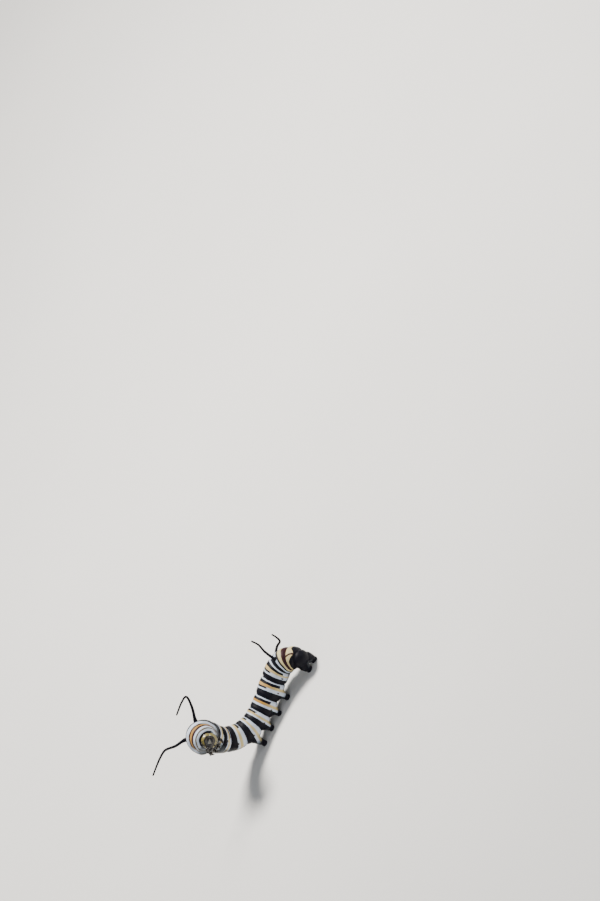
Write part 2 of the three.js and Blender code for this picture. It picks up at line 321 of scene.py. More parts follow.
def new_finish(name, **values):
    """A material whose Principled shader has the given uniform values."""
    finish = bpy.data.materials.new(name)
    finish.use_nodes = True
    for socket, value in values.items():
        shader_input(finish.node_tree, socket).default_value = value
    return finish, finish.node_tree


def connect(tree, **fields):
    """Link fields to the Principled shader."""
    for socket, field in fields.items():
        tree.links.new(field.socket, shader_input(tree, socket))


print("shader helpers ready")

# %% The floor
FLOOR_SIDE = 6.0


def make_floor():
    finish, tree = new_finish("pale_floor", Roughness=0.75)
    cloud = grain(tree, 12.0, 3.0)
    connect(tree, Base_Color=ramp(cloud, [(0.3, (0.76, 0.75, 0.73)), (0.7, (0.80, 0.79, 0.77))]))
    bm = bmesh.new()
    bmesh.ops.create_grid(bm, x_segments=1, y_segments=1, size=FLOOR_SIDE / 2)
    floor = new_object("floor", mesh_from("floor", bm))
    floor.data.materials.append(finish)


make_floor()
print("floor", FLOOR_SIDE, "m across")

# %% Soft studio light
SKY_COLOUR = (0.86, 0.90, 0.95, 1)
SKY_STRENGTH = 0.22
LIGHTS = [
    # name, direction, distance, size, power, colour
    ("key_light", (0.46, 0.45, 1.25), 0.42, 0.16, 4.6, (1.0, 0.96, 0.90)),
    ("fill_light", (-0.5, -1.0, 0.7), 0.55, 0.40, 0.8, (0.93, 0.96, 1.0)),
    ("side_light", (1.0, -0.5, 0.45), 0.55, 0.35, 0.6, (0.95, 0.97, 1.0)),
]


def make_lights():
    for name, direction, distance, size, power, colour in LIGHTS:
        lamp = bpy.data.lights.new(name, "AREA")
        lamp.shape = "DISK"
        lamp.size = size
        lamp.energy = power
        lamp.color = colour
        away = Vector(direction).normalized()
        aim = away.to_track_quat("Z", "Y").to_matrix().to_4x4()
        new_object(name, lamp).matrix_world = Matrix.Translation(away * distance) @ aim
    world = bpy.data.worlds.new("studio")
    world.use_nodes = True
    sky = world.node_tree.nodes["Background"]
    sky.inputs["Color"].default_value = SKY_COLOUR
    sky.inputs["Strength"].default_value = SKY_STRENGTH
    bpy.context.scene.world = world


make_lights()
print(len(LIGHTS), "soft lights")

# %% [markdown]
# ## From a grid to a tube
#
# Nearly everything on this animal is a tube: the trunk, the soft legs, the filaments and the joints of
# the hard legs. One way is to extrude a circle ring by ring. A flat grid is quicker: its rows become the
# rings and its columns run along, every point is carried to its place by a formula, and merging doubles
# welds the seam and closes the two ends into poles.

# %% Bend a grid into a tube
def grid_tube(bm, rings, sides, place):
    """Bend a flat grid into a closed tube. Place gives a point for a share along and an angle."""
    verts = bmesh.ops.create_grid(bm, x_segments=rings, y_segments=sides, size=1.0)["verts"]
    for vert in verts:
        vert.co = place((vert.co.x + 1) / 2, (vert.co.y + 1) * math.pi)
    bmesh.ops.remove_doubles(bm, verts=verts, dist=1e-4)
    return [vert for vert in verts if vert.is_valid]


print("tube helper ready")

# %% Threads and the tubes along them
THREAD_FINENESS = 24


def thread(points, steps):
    """Even points along a smooth curve through the given ones."""
    ghosts = [2 * points[0] - points[1], *points, 2 * points[-1] - points[-2]]
    fine = [points[0]]
    for a, b, c, d in zip(ghosts, ghosts[1:], ghosts[2:], ghosts[3:]):
        k0, k1, k2 = (math.sqrt((q - p).length) for p, q in ((a, b), (b, c), (c, d)))
        leave = k1 * ((b - a) / k0 - (c - a) / (k0 + k1) + (c - b) / k1)
        arrive = k1 * ((c - b) / k1 - (d - b) / (k1 + k2) + (d - c) / k2)
        fine += interpolate_bezier(b, b + leave / 3, c - arrive / 3, c, THREAD_FINENESS)[1:]
    reach = [0.0]
    for p, q in zip(fine, fine[1:]):
        reach.append(reach[-1] + (q - p).length)
    even, i = [], 0
    for n in range(steps + 1):
        goal = reach[-1] * n / steps
        while i < len(fine) - 2 and reach[i + 1] < goal:
            i += 1
        even.append(fine[i].lerp(fine[i + 1], (goal - reach[i]) / (reach[i + 1] - reach[i])))
    return even


def cross_ways(points):
    """Two directions across a thread at each of its points, carried along without twist."""
    ways = []
    across = None
    for i in range(len(points)):
        along_way = (points[min(i + 1, len(points) - 1)] - points[max(i - 1, 0)]).normalized()
        if across is None:
            across = along_way.orthogonal().normalized()
        else:
            across = (across - along_way * across.dot(along_way)).normalized()
        ways.append((across.copy(), along_way.cross(across)))
    return ways


def thread_tube(bm, points, sides, radius):
    """A closed tube along a thread. Radius gives the thickness at a share of its length."""
    ways = cross_ways(points)
    last = len(points) - 1

    def place(share, angle):
        i = round(share * last)
        across, aside = ways[i]
        size = 0 if i in (0, last) else radius(i / last, angle)
        return points[i] + (across * math.cos(angle) + aside * math.sin(angle)) * size

    return grid_tube(bm, last, sides, place)


print("a thread has", THREAD_FINENESS, "fine points between two given ones")

# %% Finished pieces and small formulas
def make_piece(name, bm, finish, stands_for=()):
    """Finish a bmesh in millimetres as a piece in metres that rides on the body."""
    bmesh.ops.recalc_face_normals(bm, faces=bm.faces)
    bmesh.ops.scale(bm, vec=(MM, MM, MM), verts=bm.verts)
    mesh = mesh_from(name, bm)
    mesh.polygons.foreach_set("use_smooth", [True] * len(mesh.polygons))
    mesh.materials.append(finish)
    piece = new_object(name, mesh)
    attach(piece, "root")
    if stands_for:
        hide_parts(*stands_for)
    print(name, sum(len(face.vertices) - 2 for face in mesh.polygons), "triangles")


def smoothstep(low, high, x):
    t = min(max((x - low) / (high - low), 0.0), 1.0)
    return t * t * (3 - 2 * t)


def bell(x, width):
    return math.exp(-((x / width) ** 2))


def nearest_finder(points):
    """A tree that finds the nearest of the points."""
    finder = KDTree(len(points))
    for n, point in enumerate(points):
        finder.insert(point, n)
    finder.balance()
    return finder


SIDES = (("left", 1), ("right", -1))
print("half way up a smooth step the value is", smoothstep(0, 1, 0.5))

# %% [markdown]
# ## The trunk
#
# The skin of a larva is one soft bag. It is pulled in between the segments, and each segment carries a few
# shallow creases across it, so that the animal can stretch and shorten. Low on each side runs a row of
# swellings. The trunk could be sculpted, but each of these forms is a small term in one radius formula,
# which keeps them regular and in the right place on every segment.

# %% Measures of the trunk
BELLY_FLATTENING = 0.92
SKIN_INSET = 0.985
TAIL_DOME = 1.7
NECK_START = 36.6
NECK_END = 37.4
NECK_RADIUS = 1.2
FOLD_SWELL = 0.075
FOLD_NOTCH = 0.2
NOTCH_WIDTH = 0.17
NOTCH_SWAY = 0.15
CREASES = (0.07, 0.28, 0.42, 0.555, 0.80, 0.90)
CREASE_DEPTH = 0.05
CREASE_WIDTH = 0.085
CREASE_SWAY = 0.02
FLANK_SWELL = 0.16
FLANK_ANGLE = math.radians(118)
FLANK_WIDTH = 0.24

# Where the skin folds in between the segments, in millimetres from the tail to the collar.
FOLDS = (0.0, 2.1, 3.9, 6.75, 10.1, 14.0, 17.25, 20.05, 23.35, 27.05, 29.35, 32.1, 35.3, 37.1)
print("the skin folds in at", len(FOLDS), "places")

# %% Trunk form
def segment_at(s):
    """The segment's number from the tail, how far back from its front fold the place is, and its length."""
    i = 0
    while i < len(FOLDS) - 2 and s >= FOLDS[i + 1]:
        i += 1
    length = FOLDS[i + 1] - FOLDS[i]
    return i, min(max((FOLDS[i + 1] - s) / length, 0.0), 1.0), length


def smooth_radius(s):
    nearby = [along(min(max(s + shift, 0), NECK_START), RADIUS) for shift in (-0.8, -0.4, 0, 0.4, 0.8)]
    return sum(nearby) / len(nearby)


def trunk_radius(s, angle):
    """The skin's distance from the axis. The angle is 0 at the middle of the back."""
    i, f, length = segment_at(s)
    radius = smooth_radius(s) * SKIN_INSET
    radius *= 1 - FOLD_SWELL * abs(2 * f - 1) ** 5
    to_fold = min(abs(s - fold) for fold in FOLDS[1:-1])
    bend = 1 + NOTCH_SWAY * math.sin(3 * angle + i)
    radius -= FOLD_NOTCH * bell(to_fold, NOTCH_WIDTH) * bend
    if i > 0:
        for crease in CREASES:
            sway = CREASE_SWAY * math.sin(2 * angle + 3 * i + 9 * crease)
            radius -= CREASE_DEPTH * bell((f - crease - sway) * length, CREASE_WIDTH)
    off_back = min(angle, 2 * math.pi - angle)
    middle_bulge = 1 - abs(2 * f - 1) ** 3
    radius += FLANK_SWELL * bell(off_back - FLANK_ANGLE, FLANK_WIDTH) * middle_bulge
    if s < TAIL_DOME:
        radius *= math.sqrt(max(0.0, 1 - (1 - s / TAIL_DOME) ** 2))
    if s > NECK_START:
        roll_in = min((s - NECK_START) / (NECK_END - NECK_START), 1.0)
        radius = NECK_RADIUS + (radius - NECK_RADIUS) * math.sqrt(max(0.0, 1 - roll_in ** 3))
    return radius


def trunk_point(s, angle, radius):
    height = math.cos(angle) * radius
    if height < 0:
        height *= BELLY_FLATTENING
    return body_point(s, height, math.sin(angle) * radius)


print("the trunk is", round(2 * trunk_radius(15.6, math.pi / 2), 2), "mm wide in the middle")

# %% The trunk as one tube
TRUNK_RINGS = 560
TRUNK_SIDES = 128
LUMPS = ((0.9, 0.05), (2.3, 0.02))


def trunk_place(share, angle):
    s = share * NECK_END
    closed = share < 1e-6 or share > 1 - 1e-6
    radius = 0.0 if closed else trunk_radius(s, angle)
    place = trunk_point(s, angle, radius)
    if radius > 0:
        lump = sum(noise.noise(place * scale) * height for scale, height in LUMPS)
        place = trunk_point(s, angle, radius + lump)
    return place


trunk = bmesh.new()
grid_tube(trunk, TRUNK_RINGS, TRUNK_SIDES, trunk_place)
print("trunk grid:", len(trunk.faces), "faces")

# %% [markdown]
# ## Soft legs
#
# Under four segments of the abdomen and under the last one stand pairs of soft legs: fleshy cones that end
# in a round pad. They have no joints, and their soles lie flat on the floor. They could be drawn out of
# the trunk's own faces, but a tube of level rings from each sole up into the trunk keeps the sole flat,
# and its outline gives the soft ring of flesh above the pad.

# %% Soft legs
PROLEG = {"side": 1.25, "splay": 0.3, "back": 0.0, "sole": 0.6, "ankle": 0.68, "thigh": 1.15, "at": 0.5}
CLASPER = {"side": 0.85, "splay": 0.25, "back": 0.1, "sole": 0.7, "ankle": 0.82, "thigh": 1.15, "at": 0.62}
HIP = 0.35
LEG_END = 0.08
LEG_RINGS = 60
LEG_SIDES = 44
LEG_OUTLINE_HEIGHTS = (0.0, 0.03, 0.10, 0.2, 0.32, 0.42, 0.55, 0.8, 1.0)


def soft_leg_plan(segment, shape, sign):
    """The leg's sole, its hip inside the trunk, and its radii at the outline's heights."""
    i = NAMES.index(segment)
    s = ends[i] + LENGTHS[i] * shape["at"]
    forward, _, left = frame_at(s)
    hip = body_point(s, -HIP * along(s, RADIUS), sign * shape["side"])
    sole = hip + Vector((left.x, left.y, 0)).normalized() * sign * shape["splay"]
    sole += Vector((-forward.x, -forward.y, 0)).normalized() * shape["back"]
    sole.z = 0
    pad, ankle, thigh = shape["sole"], shape["ankle"], shape["thigh"]
    radii = (pad * 0.96, pad * 1.06, pad * 1.08, pad * 0.94, ankle * 1.04, ankle * 1.1,
             (ankle + thigh) / 2, thigh * 0.97, thigh * 0.97)
    return {"sole": sole, "hip": hip, "radii": radii}


def outline_radius(plan, height):
    stops = LEG_OUTLINE_HEIGHTS
    for (a, b), (low, high) in zip(zip(stops, stops[1:]), zip(plan["radii"], plan["radii"][1:])):
        if height <= b:
            return low + (high - low) * smoothstep(a, b, height)
    return plan["radii"][-1]


def add_soft_leg(bm, plan):
    def place(share, angle):
        height = min(max((share - LEG_END) / (1 - 2 * LEG_END), 0.0), 1.0)
        size = outline_radius(plan, height) * min(share / LEG_END, (1 - share) / LEG_END, 1.0)
        centre = plan["sole"].lerp(plan["hip"], height)
        return centre + Vector((math.cos(angle), math.sin(angle), 0)) * size

    grid_tube(bm, LEG_RINGS, LEG_SIDES, place)


soft_legs = []
for segment, shape in [("abdomen_%d" % n, PROLEG) for n in (3, 4, 5, 6)] + [("abdomen_10", CLASPER)]:
    for sign in (1, -1):
        soft_legs.append(soft_leg_plan(segment, shape, sign))
for plan in soft_legs:
    add_soft_leg(trunk, plan)
print(len(soft_legs), "soft legs, soles at", sorted({plan["sole"].z for plan in soft_legs}), "mm")

# %% [markdown]
# ## One skin
#
# The trunk and its legs now pass through each other as closed shells. A boolean would leave sharp seams
# where they cross. A voxel remesh draws one new even skin round everything, which melts each leg into the
# trunk as flesh does, and a little smoothing settles the surface.

# %% Melt trunk and legs into one skin
VOXEL = 0.112


def applied(mesh, kind, **settings):
    """A new mesh after one modifier."""
    holder = new_object("holder", mesh)
    modifier = holder.modifiers.new(kind, kind)
    for name, value in settings.items():
        setattr(modifier, name, value)
    graph = bpy.context.evaluated_depsgraph_get()
    result = bpy.data.meshes.new_from_object(holder.evaluated_get(graph))
    bpy.data.objects.remove(holder)
    return result


bmesh.ops.recalc_face_normals(trunk, faces=trunk.faces)
even_skin = applied(mesh_from("rough_skin", trunk), "REMESH", mode="VOXEL", voxel_size=VOXEL, adaptivity=0.0)
print("remeshed skin:", len(even_skin.polygons), "faces")

# %% [markdown]
# ## Filaments
#
# Two pairs of black fleshy threads stand on the back: long ones behind the head and shorter ones near the
# tail. They aren't feelers or horns but drawn-out skin, so they belong to the same skin. They are too thin
# for the voxels, so each is a thread tube with a swollen base, joined to the skin by an exact boolean.

# %% Filaments
FRONT_FILAMENT = {"root": 0.36, "tip": 0.17, "spread": 37, "at": 0.5, "steps": 110}
REAR_FILAMENT = {"root": 0.34, "tip": 0.17, "spread": 33, "at": 0.2, "steps": 64}
FILAMENT_SOCKET = 0.8
FILAMENTS = [
    # segment, side, shape, offsets from the skin along X, Y and Z
    ("thorax_2", 1, FRONT_FILAMENT,
     [(2, -0.4, 2.1), (3.4, -0.7, 4.2), (3.3, -1.1, 4.95), (2, -1.55, 5.35), (-0.8, -2.05, 5.35)]),
    ("thorax_2", -1, FRONT_FILAMENT,
     [(-1.9, -0.45, 1.55), (-3.6, -0.75, 3.4), (-5.25, -1.35, 3.95), (-7, -1.7, 4.05), (-9.25, -2.05, 4)]),
    ("abdomen_8", 1, REAR_FILAMENT,
     [(0.45, 0.7, 2.35), (1.1, 1.2, 3.95), (1.15, 1.8, 5.55)]),
    ("abdomen_8", -1, REAR_FILAMENT,
     [(1.2, 0.35, 0.2), (2.3, -0.1, 0.4), (2.7, 0.0, 1.5), (2.8, 0.2, 2.65)]),
]
FILAMENT_SIDES = 20
FILAMENT_WRINKLES = 38
FILAMENT_COLLAR = (0.06, 0.05, 0.35)
FILAMENT_DOME = 0.03


def filament_thread(segment, sign, shape, offsets):
    i = NAMES.index(segment)
    s = ends[i + 1] - LENGTHS[i] * shape["at"]
    spread = math.radians(shape["spread"])
    skin, socket = (body_point(s, r * math.cos(spread), sign * r * math.sin(spread))
                    for r in (along(s, RADIUS), along(s, RADIUS) * FILAMENT_SOCKET))
    return thread([socket, skin] + [skin + Vector(offset) for offset in offsets], shape["steps"])


def filament_radius(shape, share, angle):
    """Thick at the root, with a low collar at the skin, fine wrinkles and a blunt round tip."""
    collar_place, collar_width, collar_swell = FILAMENT_COLLAR
    size = shape["root"] + (shape["tip"] - shape["root"]) * share ** 0.8
    size *= 1 + collar_swell * bell(share - collar_place, collar_width)
    size *= 1 + 0.035 * math.sin(share * FILAMENT_WRINKLES * 2 * math.pi + math.sin(angle))
    to_tip = (1 - share) / FILAMENT_DOME
    return size * (math.sqrt(1 - (1 - to_tip) ** 2) if to_tip < 1 else 1)


filament_threads = []
filament_bm = bmesh.new()
for segment, sign, shape, offsets in FILAMENTS:
    points = filament_thread(segment, sign, shape, offsets)
    filament_threads.append((points, shape))
    thread_tube(filament_bm, points, FILAMENT_SIDES,
                lambda share, angle: filament_radius(shape, share, angle))
    reach = sum((q - p).length for p, q in zip(points, points[1:]))
    print("filament on", segment, "reaches", round(reach, 1), "mm")
bmesh.ops.recalc_face_normals(filament_bm, faces=filament_bm.faces)

# %% Join the filaments to the skin
WELD = 0.004

cutter = new_object("cutter", mesh_from("filaments", filament_bm))
joined_skin = applied(even_skin, "BOOLEAN", operation="UNION", solver="EXACT", object=cutter)
bpy.data.objects.remove(cutter)

skin = bmesh.new()
skin.from_mesh(joined_skin)
bmesh.ops.triangulate(skin, faces=[face for face in skin.faces if len(face.verts) > 4])
bmesh.ops.remove_doubles(skin, verts=skin.verts, dist=WELD)
print("joined skin:", len(skin.faces), "faces")

# %% [markdown]
# ## Where each point of the skin belongs
#
# The markings run round the body in bands, and each band belongs to a place in its segment. After the
# remesh the points no longer know where they came from, so each one looks up its nearest place on the
# axis and keeps two numbers: band counts segments back from the collar, with the place in the segment
# after the point, and around runs from 0 at the back to 1 at the belly. Two more numbers mark the
# filaments and the feet. A painted image could carry the markings too, but a shader can read these four
# numbers as attributes, and they stay sharp at any size.

# %% Find each point's place on the body
LAST = len(FOLDS) - 2
SLIDES = 6
SLIDE_SHARE = 0.7


def band_number(s):
    """Segments back from the collar, with the place in the segment after the point, below 0 on the neck."""
    i, f, _ = segment_at(s)
    return LAST - i + f - max(s - FOLDS[-1], 0.0) / (FOLDS[-1] - FOLDS[-2])


def nearest_place(point, guess):
    """Slide along the axis until the point is straight across from it."""
    s = guess
    for _ in range(SLIDES):
        s = min(max(s + (point - axis_point(s)).dot(frame_at(s)[0]) * SLIDE_SHARE, 0.0), NECK_END)
    return s


BACK_DRIFT = math.radians(38)
BACK_DRIFT_PLACE = 4.0
BACK_DRIFT_REACH = 1.0


def around_share(point, s):
    """The angle from the middle of the back, from -1 to 1. On the last segments the back leans over."""
    _, up, left = frame_at(s)
    offset = point - axis_point(s)
    drift = BACK_DRIFT * bell(s - BACK_DRIFT_PLACE, BACK_DRIFT_REACH)
    angle = math.atan2(offset.dot(left), offset.dot(up)) - drift
    return ((angle / math.pi + 1) % 2) - 1


print("the middle of the body lies at band", round(band_number(ends[-1] / 2), 2))

# %% Marks for filaments and feet
FILAMENT_EDGE = (1.1, 1.45)
FILAMENT_END = 0.97
FILAMENT_END_SIZE = 0.2
FOOT_EDGE = (1.05, 1.6)
FOOT_TOP = 0.75
FOOT_BOTTOM = -0.1


def filament_mark(point, finder, threads):
    """1 on a filament, 0 on the body."""
    _, n, distance = finder.find(point)
    _, share, shape = threads[n]
    size = filament_radius(shape, share, 0.0) if share < FILAMENT_END else FILAMENT_END_SIZE
    return 1 - smoothstep(*FILAMENT_EDGE, distance / size)


def foot_mark(point):
    """1 at a sole, fading to 0 up the leg."""
    foot = 0.0
    for plan in soft_legs:
        axis_way = plan["hip"] - plan["sole"]
        height = (point - plan["sole"]).dot(axis_way) / axis_way.length_squared
        if FOOT_BOTTOM < height < FOOT_TOP:
            aside = (point - plan["sole"].lerp(plan["hip"], height)).length
            near = 1 - smoothstep(*FOOT_EDGE, aside / outline_radius(plan, max(height, 0.0)))
            foot = max(foot, near * (1 - height / FOOT_TOP))
    return foot


print("the mark at a sole is", round(foot_mark(soft_legs[0]["sole"]), 2))

# %% Write the marks on the skin
MARKS = ("band", "around", "filament", "foot")
SAMPLE_STEP = 0.12
SAMPLE_SIDES = 24


def trunk_samples():
    """Places on the trunk, each with how far along the body it is."""
    samples = []
    for n in range(round(NECK_END / SAMPLE_STEP)):
        s = n * SAMPLE_STEP
        for m in range(SAMPLE_SIDES):
            angle = m * 2 * math.pi / SAMPLE_SIDES
            samples.append((trunk_point(s, angle, trunk_radius(s, angle)), s))
    return samples


def mark_skin(bm):
    samples = trunk_samples()
    rows = nearest_finder([point for point, s in samples])
    threads = [(point, n / (len(points) - 1), shape)
               for points, shape in filament_threads for n, point in enumerate(points)]
    strings = nearest_finder([point for point, share, shape in threads])
    layers = {name: bm.verts.layers.float.new(name) for name in MARKS}
    for vert in bm.verts:
        s = nearest_place(vert.co, samples[rows.find(vert.co)[1]][1])
        vert[layers["band"]] = band_number(s)
        vert[layers["around"]] = abs(around_share(vert.co, s))
        vert[layers["filament"]] = filament_mark(vert.co, strings, threads)
        vert[layers["foot"]] = foot_mark(vert.co)


mark_skin(skin)
print("places found for", len(skin.verts), "points")

# %% [markdown]
# ## Settling the skin
#
# The boolean leaves a sharp line round the foot of each filament, and the voxels leave faint steps. A
# sculptor would smooth them with a brush. Moving each point part of the way to the middle of its
# neighbours does the same. It is done after the marks are written, so the markings stay where they are.

# %% Settle the joins
ALL_WAYS = {"use_axis_x": True, "use_axis_y": True, "use_axis_z": True}
JOIN_PLACE = 0.05
JOIN_REACH = 0.9
JOIN_ROUNDS, JOIN_FACTOR = 4, 0.5
BODY_ROUNDS, BODY_FACTOR = 2, 0.4

join_verts = []
for points, shape in filament_threads:
    foot_point = points[round(JOIN_PLACE * (len(points) - 1))]
    join_verts += [vert for vert in skin.verts if (vert.co - foot_point).length < JOIN_REACH]
for _ in range(JOIN_ROUNDS):
    bmesh.ops.smooth_vert(skin, verts=join_verts, factor=JOIN_FACTOR, **ALL_WAYS)
body_verts = [vert for vert in skin.verts if vert[skin.verts.layers.float["filament"]] < 0.01]
for _ in range(BODY_ROUNDS):
    bmesh.ops.smooth_vert(skin, verts=body_verts, factor=BODY_FACTOR, **ALL_WAYS)
print("smoothed", len(join_verts), "points at the filament roots")

# %% [markdown]
# ## The banded finish
#
# Behind the collar each segment repeats one pattern from its front fold backwards: a broad black band,
# white, a short black dash on the back, a yellow band, a thin black line and white again. The bands could
# be painted by hand on an image. Here the fraction of the band number gives the place in the pattern, so
# a few ramps paint every segment, and more ramps over the whole body say where the broad band ends and how
# strong the yellow, the dash and the thin line are. The first two segments and the last three have
# patterns of their own. A little noise on the band number makes the edges wander as on a real skin.

# %% Colours
WHITE = (0.56, 0.62, 0.72)
CREAM = (0.60, 0.50, 0.25)
GOLD = (0.46, 0.21, 0.018)
PEACH = (0.40, 0.22, 0.06)
OLIVE = (0.11, 0.075, 0.022)
BLACK = (0.004, 0.004, 0.008)
MAROON = (0.030, 0.009, 0.012)
BROWN = (0.045, 0.016, 0.010)
# The belly's own dull dark, which on the first two segments also serves as painted shade.
BELLY_AND_SHADE = (0.050, 0.056, 0.060)
print("nine colours, from white", WHITE, "to black", BLACK)

# %% The pattern of a segment
def edges(spans, softness):
    """Ramp stops for colours that hold over spans and change softly between them."""
    stops = []
    for start, end, colour in spans:
        stops.append((start + softness / 2 if stops else start, colour))
        stops.append((end - softness / 2, colour))
    return stops


# Green is the dash on the back, blue the yellow band.
PATTERN = edges([
    (0.0, 0.46, (0, 0, 0)),
    (0.46, 0.565, (0, 1, 0)),
    (0.565, 0.735, (0, 0, 1)),
    (0.735, 1.0, (0, 0, 0)),
], 0.016)
THIN_LINE = edges([(0.0, 0.725, 0.0), (0.725, 0.90, 1.0), (0.90, 1.0, 0.0)], 0.016)
BAND_START = 0.96
EDGE_SHARPNESS = 50.0

# The broad black band starts just ahead of the fold. Here is where it ends in each segment.
BAND_ENDS = [(2.5, 0.43), (3.5, 0.46), (4.5, 0.43), (5.5, 0.44), (6.5, 0.45), (7.5, 0.43), (8.5, 0.375),
             (9.5, 0.36), (10.5, 0.36)]
SEGMENT_STRENGTH = [
    # place, (yellow, dash, thin line)
    (2.5, (0.80, 0.9, 1.0)),
    (3.5, (0.50, 0.0, 1.0)),
    (4.5, (0.25, 0.0, 0.50)),
    (5.5, (0.10, 0.0, 0.34)),
    (6.5, (0.22, 0.0, 0.38)),
    (7.5, (0.90, 0.0, 0.80)),
    (8.5, (0.75, 1.0, 1.0)),
    (9.5, (0.30, 1.0, 1.0)),
    (10.5, (0.30, 1.0, 1.0)),
]
print("one segment's pattern has", len(PATTERN), "stops")

# %% Bands of the front and the rear
# They are given in millimetres along the axis.
FRONT_BANDS = [
    (37.60, 37.27, BLACK), (37.27, 37.02, WHITE), (37.02, 36.86, OLIVE), (36.86, 36.42, WHITE),
    (36.42, 36.02, MAROON), (36.02, 35.42, PEACH), (35.42, 35.10, BROWN), (35.10, 34.56, WHITE),
    (34.56, 33.10, BLACK), (33.10, 32.10, WHITE),
]
REAR_BANDS = [
    (6.75, 6.00, BLACK), (6.00, 5.62, WHITE), (5.62, 5.24, BLACK), (5.24, 4.62, CREAM),
    (4.62, 3.72, MAROON), (3.72, 2.36, CREAM), (2.36, 0.0, BLACK),
]
SEGMENT_COUNT = 13
NECK_SHARE = 0.3
REAR_START = 10
SPLIT_START = 3.8
CAP_EDGE = 2.36
CAP_BULGE = 0.42
# How much higher the belly's dark reaches on the first two segments: painted shade on the low side of the
# thorax.
FRONT_SHADE_REACH = 0.15


def body_spans(bands, first, count):
    """Bands in millimetres from the tail, as shares of so many segments from the first."""
    spans = []
    for start, end, colour in bands:
        low, high = band_number(start - 1e-6), band_number(end + 1e-6)
        spans.append(((low - first) / count, (high - first) / count, colour))
    return spans


print(len(FRONT_BANDS), "bands in front and", len(REAR_BANDS), "behind")

# %% Reaches of the markings
YELLOW_FADE = [(0.30, 1.0), (0.55, 0.25)]
DASH_REACH = [(0.23, 1.0), (0.28, 0.0)]
LINE_REACH, LINE_SHORTFALL = 0.7, 0.12
SPLIT_REACH = [(0.022, 1.0), (0.04, 0.0)]
CAP_RISE = [(0.0, 0.0), (0.22, 1.0)]
BELLY_AND_SHADE_EDGE = [(0.72, 0.0), (0.80, 0.85)]
SHOE_EDGE = [(0.46, 0.0), (0.52, 1.0)]
MOTTLE = [(0.3, (0.86, 0.87, 0.89)), (0.65, (1.0, 1.0, 1.0))]
WRINKLES = 16


def sharp(field):
    """0 below zero and 1 just above it."""
    return field.math("MULTIPLY", EDGE_SHARPNESS, True)


def over_body(band, stops):
    """A ramp over the whole body from stops at band numbers."""
    return ramp(band / SEGMENT_COUNT, [(position / SEGMENT_COUNT, value) for position, value in stops])


def own_bands(band, bands, first, count, softness):
    """How far over a few segments a place is, and its colour there."""
    share = (band - first) / count
    return share, ramp(share, edges(body_spans(bands, first, count), softness))


print("the dash on the back reaches", round(180 * DASH_REACH[0][0]), "degrees down each side")

# %% Skin finish
def make_skin_finish():
    finish, tree = new_finish("banded_skin", Roughness=0.45, Subsurface_Weight=0.05,
                              Subsurface_Scale=0.0002, Specular_IOR_Level=0.11)
    band = attribute(tree, "band") + wander(tree, 700.0, 0.07)
    around = attribute(tree, "around")
    place = band.math("FRACT")
    _, dash, yellow = channels(ramp(place, PATTERN))
    gold, dash_strength, line_strength = channels(over_body(band, SEGMENT_STRENGTH))

    # The yellow fades to cream low on the sides.
    gold = gold * ramp(around, YELLOW_FADE)
    ground = mix_colour(yellow, WHITE, mix_colour(gold, CREAM, GOLD))

    # The dash and the pale segments' thin line stay on the back.
    dash = dash * ramp(around, DASH_REACH) * dash_strength
    line_on = around.math("LESS_THAN", line_strength * LINE_REACH - LINE_SHORTFALL)
    line = ramp(place, THIN_LINE) * line_on
    broad = sharp(place - BAND_START).math("MAXIMUM", sharp(over_body(band, BAND_ENDS) - place))
    colour = mix_colour(broad.math("MAXIMUM", dash).math("MAXIMUM", line), ground, BLACK)

    # The first two and the last three segments.
    _, front = own_bands(band, FRONT_BANDS, -NECK_SHARE, 2.0 + NECK_SHARE, 0.010)
    share, rear = own_bands(band, REAR_BANDS, REAR_START, 3.0, 0.012)
    colour = mix_colour(band.math("LESS_THAN", 2.0), colour, front)
    colour = mix_colour(band.math("GREATER_THAN", REAR_START), colour, rear)

    # A thin dark line splits the last pale band along the middle of the back.
    split_start = (band_number(SPLIT_START) - REAR_START) / 3.0
    split = ramp(around, SPLIT_REACH) * ramp(share, [(split_start, 0.0), (split_start + 0.01, 1.0)])
    colour = mix_colour(split, colour, MAROON)

    # The black cap of the tail reaches forward beside the back, so the pale band ends in a point.
    past_edge = band - band_number(CAP_EDGE) + ramp(around, CAP_RISE) * CAP_BULGE
    colour = mix_colour(sharp(past_edge), colour, BLACK)

    # The belly is dull and dark, the feet and filaments black. On the first two segments the dark
    # reaches higher up the sides: painted shade on the low side of the thorax.
    patch = wander(tree, 1500.0, 0.12, 3.0)
    low = around + patch + band.math("LESS_THAN", 2.0) * FRONT_SHADE_REACH
    colour = mix_colour(ramp(low, BELLY_AND_SHADE_EDGE), colour, BELLY_AND_SHADE)
    shoe = attribute(tree, "foot") + patch * 0.5
    colour = mix_colour(ramp(shoe, SHOE_EDGE), colour, BLACK)
    colour = mix_colour(attribute(tree, "filament"), colour, BLACK)

    # Faint mottling keeps the pale parts from looking painted. Fine wrinkles run across the body, and tiny
    # grains lie over them.
    mottle = ramp(grain(tree, 2600.0, 4.0, 0.6), MOTTLE)
    wrinkle = (band * (2 * math.pi * WRINKLES)).math("SINE")
    relief = wrinkle * 0.25 + grain(tree, 5200.0, 3.0, 0.6)
    rough = ramp(grain(tree, 1800.0, 3.0), [(0.3, 0.40), (0.7, 0.55)])
    connect(tree, Base_Color=shaded(colour, mottle), Normal=bump(relief, 0.018), Roughness=rough)
    return finish


skin_finish = make_skin_finish()
print("the skin's finish has", len(skin_finish.node_tree.nodes), "nodes")

# %% Keep the surface, then finish the piece
class Spot:
    """A face of the skin where a bristle may stand."""

    def __init__(self, face, layers):
        self.place = face.calc_center_median()
        self.normal = face.normal.copy()
        self.area = face.calc_area()
        self.marks = {name: face.verts[0][layer] for name, layer in layers.items()}
        band = min(max(self.marks["band"], 0.0), SEGMENT_COUNT - 0.001)
        i = LAST - int(band)
        self.guess = FOLDS[i + 1] - (FOLDS[i + 1] - FOLDS[i]) * (band % 1)


